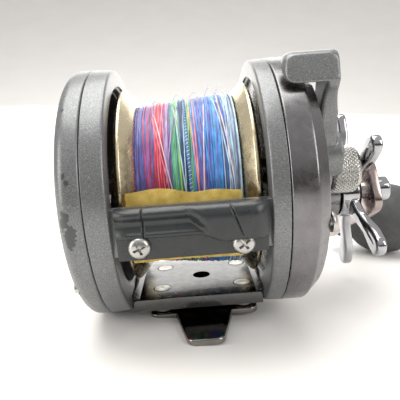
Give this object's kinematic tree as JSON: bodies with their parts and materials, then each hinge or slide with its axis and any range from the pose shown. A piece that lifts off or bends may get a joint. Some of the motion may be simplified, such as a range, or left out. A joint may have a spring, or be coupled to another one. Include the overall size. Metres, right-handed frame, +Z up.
{
  "type": "trolling reel",
  "caption": "Round star-drag trolling reel with a lever clutch, one-piece frame, wound line, crank handle and riveted rod foot.",
  "frame": {"origin": "centre of the reel foot's flat underside", "axes": "+X along the spool axis towards the handle, +Y towards the rod tip, +Z up from the rod seat"},
  "size_m": [0.1341, 0.1053, 0.0804],
  "materials": {
    "paint": "metallic grey paint, satin",
    "gunmetal": "dark anodised, polished",
    "plastic": "moulded dark grey plastic",
    "steel": "plain stainless steel",
    "chrome": "bright chrome plate",
    "brass": "machined brass",
    "carbon": "woven fibre drag disc",
    "champagne": "champagne anodised, satin",
    "line": "braided line in bands of colour",
    "tape": "crinkled paper tape",
    "knob": "matt dark grey grip"
  },
  "bodies": {
    "root": {"frame": "paint", "thumb_rest": "plastic", "thumb_rest_screw_left": "steel", "thumb_rest_screw_right": "steel", "tape_strip": "tape", "left_cover": "paint", "left_cover_screw_1": "steel", "left_cover_screw_2": "steel", "left_cover_screw_3": "steel", "right_cover": "gunmetal", "right_cover_screw_1": "steel", "right_cover_screw_2": "steel", "right_cover_screw_3": "steel", "right_cover_screw_4": "steel", "gear_plate": "gunmetal", "reel_foot": "chrome", "foot_rivet_1": "steel", "foot_rivet_2": "steel", "foot_rivet_3": "steel", "foot_rivet_4": "steel", "left_bearing": "steel", "right_bearing": "steel", "spool_end_bearing": "steel", "yoke_post_1": "steel", "yoke_post_2": "steel", "yoke_spring_1": "steel", "yoke_spring_2": "steel", "drive_bush": "steel", "one_way_bearing": "steel", "dog_post": "steel"},
    "spool": {"spool": "champagne", "line_pack": "line", "spool_shaft": "steel", "spool_pin": "steel", "click_gear": "brass"},
    "cast_cap": {"cast_control_cap": "chrome", "cast_control_pad": "brass"},
    "clicker": {"click_pawl": "steel", "click_button": "plastic"},
    "yoke": {"yoke": "steel"},
    "pinion": {"pinion": "brass"},
    "lever": {"clutch_lever": "paint", "clutch_cam": "steel"},
    "crank": {"drive_shaft": "steel", "drive_gear": "brass", "ratchet": "steel", "bearing_sleeve": "steel", "drag_washer_1": "carbon", "metal_washer": "steel", "drag_washer_2": "carbon", "pressure_plate": "steel", "spring_washer": "steel", "handle_arm": "chrome", "handle_nut": "chrome", "knob_post": "steel"},
    "star": {"star_drag": "chrome"},
    "knob": {"knob": "knob", "knob_bush": "brass", "knob_cap": "steel"},
    "dog": {"anti_reverse_dog": "steel"}
  },
  "joints": [
    {"name": "crank_spin", "type": "hinge", "parent": "root", "child": "crank", "pos_m": [0.05, 0.01306, 0.02993], "axis": [1, 0, 0], "continuous": true},
    {"name": "spool_spin", "type": "hinge", "parent": "root", "child": "spool", "pos_m": [0, 0, 0.0396], "axis": [1, 0, 0], "continuous": true},
    {"name": "clutch_lever", "type": "hinge", "parent": "root", "child": "lever", "pos_m": [0.036, -0.012, 0.0462], "axis": [1, 0, 0], "range_deg": [0, 35]},
    {"name": "yoke_slide", "type": "slide", "parent": "root", "child": "yoke", "axis": [1, 0, 0], "range_m": [0, 0.0018], "deforming": ["yoke_spring_1", "yoke_spring_2"]},
    {"name": "pinion_spin", "type": "hinge", "parent": "yoke", "child": "pinion", "pos_m": [0.025, 0, 0.0396], "axis": [1, 0, 0], "continuous": true},
    {"name": "star_turn", "type": "hinge", "parent": "crank", "child": "star", "pos_m": [0.05, 0.01306, 0.02993], "axis": [1, 0, 0], "range_deg": [-270, 90]},
    {"name": "knob_spin", "type": "hinge", "parent": "crank", "child": "knob", "pos_m": [0.08, 0.052, 0.0088], "axis": [1, 0, 0], "continuous": true},
    {"name": "cast_cap_turn", "type": "hinge", "parent": "root", "child": "cast_cap", "pos_m": [0.046, 0, 0.0396], "axis": [1, 0, 0], "range_deg": [-180, 360]},
    {"name": "clicker_slide", "type": "slide", "parent": "root", "child": "clicker", "axis": [0, -1, 0], "range_m": [0, 0.0032]},
    {"name": "dog_pivot", "type": "hinge", "parent": "root", "child": "dog", "pos_m": [0.022, -0.002, 0.018], "axis": [1, 0, 0], "range_deg": [-12, 0]}
  ],
  "couplings": [
    {"joint": "spool_spin", "follows": "crank_spin", "ratio": -4},
    {"joint": "pinion_spin", "follows": "crank_spin", "ratio": -4},
    {"joint": "yoke_slide", "follows": "clutch_lever", "m_per_rad": 0.0029466}
  ]
}
